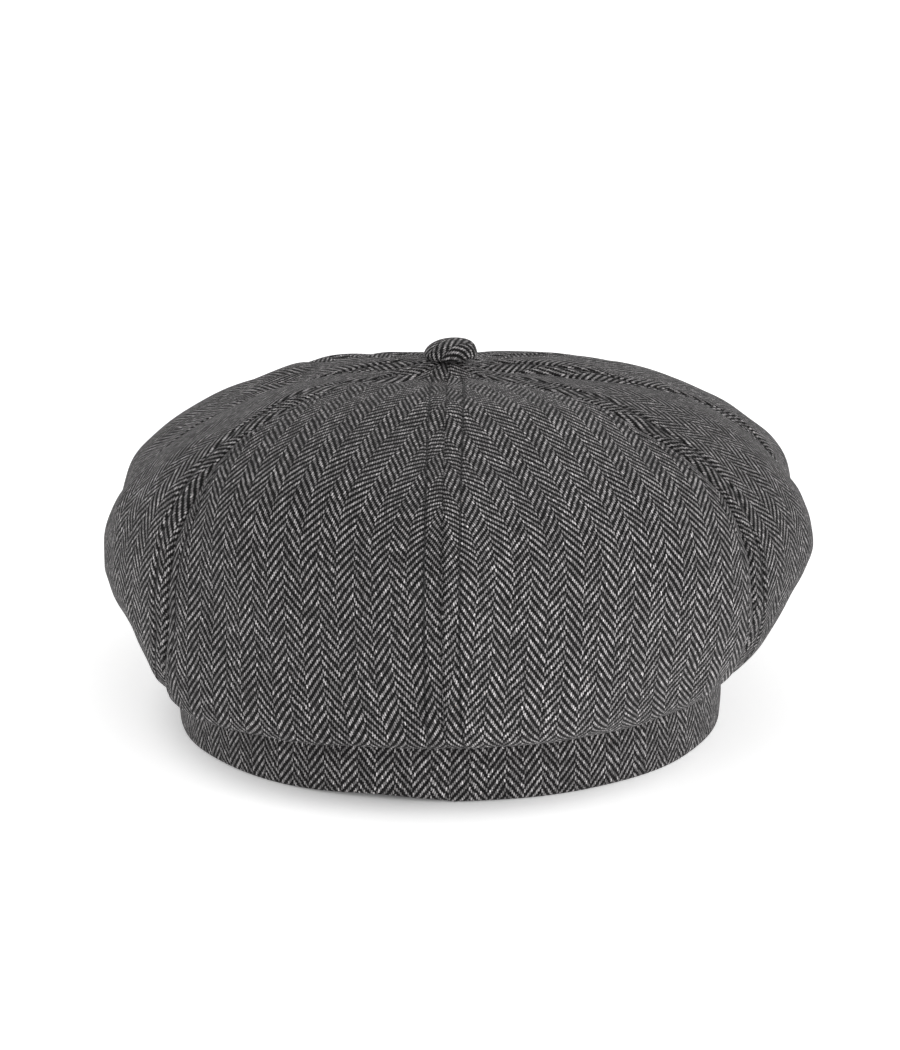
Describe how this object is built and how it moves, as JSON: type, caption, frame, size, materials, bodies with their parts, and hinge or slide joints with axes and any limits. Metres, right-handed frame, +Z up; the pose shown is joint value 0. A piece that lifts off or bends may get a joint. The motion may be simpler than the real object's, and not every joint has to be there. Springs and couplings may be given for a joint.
{
  "type": "newsboy cap",
  "caption": "Round full-crowned newsboy cap: puffed tweed gores under a covered button, a narrow stitched headband, a short stiff curved visor, a lining and a sweatband.",
  "frame": {"origin": "middle of the cap's footprint, on the table that it lies on", "axes": "+Z up, +Y forwards out of the visor, +X to the wearer's right"},
  "size_m": [0.2284, 0.2744, 0.122],
  "materials": {
    "tweed": "grey and charcoal wool herringbone twill, light warp on dark weft, slightly fuzzy",
    "lining": "dark smooth twill lining, soft sheen",
    "interfacing": "off-white stiff woven interfacing",
    "sweatband": "black grosgrain sweatband, fine cross ribs, matt",
    "tape": "black woven joining tape",
    "label": "plain woven label, no lettering",
    "visor_board": "semi-stiff polyethylene visor board",
    "button_metal": "thin plated steel button blank"
  },
  "bodies": {
    "root": {"crown_panel_back_right": "tweed", "crown_panel_rear_side_right": "tweed", "crown_panel_front_side_right": "tweed", "crown_panel_front_right": "tweed", "crown_panel_front_left": "tweed", "crown_panel_front_side_left": "tweed", "crown_panel_rear_side_left": "tweed", "crown_panel_back_left": "tweed", "lining_panel_back_right": "lining", "lining_panel_rear_side_right": "lining", "lining_panel_front_side_right": "lining", "lining_panel_front_right": "lining", "lining_panel_front_left": "lining", "lining_panel_front_side_left": "lining", "lining_panel_rear_side_left": "lining", "lining_panel_back_left": "lining", "headband": "tweed", "headband_interfacing": "interfacing", "sweatband": "sweatband", "sweatband_joining_tape": "tape", "size_tab": "label", "maker_label_blank": "label", "visor_top_cover": "tweed", "visor_board": "visor_board", "visor_under_cover": "tweed", "button_cover": "tweed", "button_shell": "button_metal", "button_back_plate": "button_metal", "button_washer": "button_metal"}
  },
  "joints": []
}
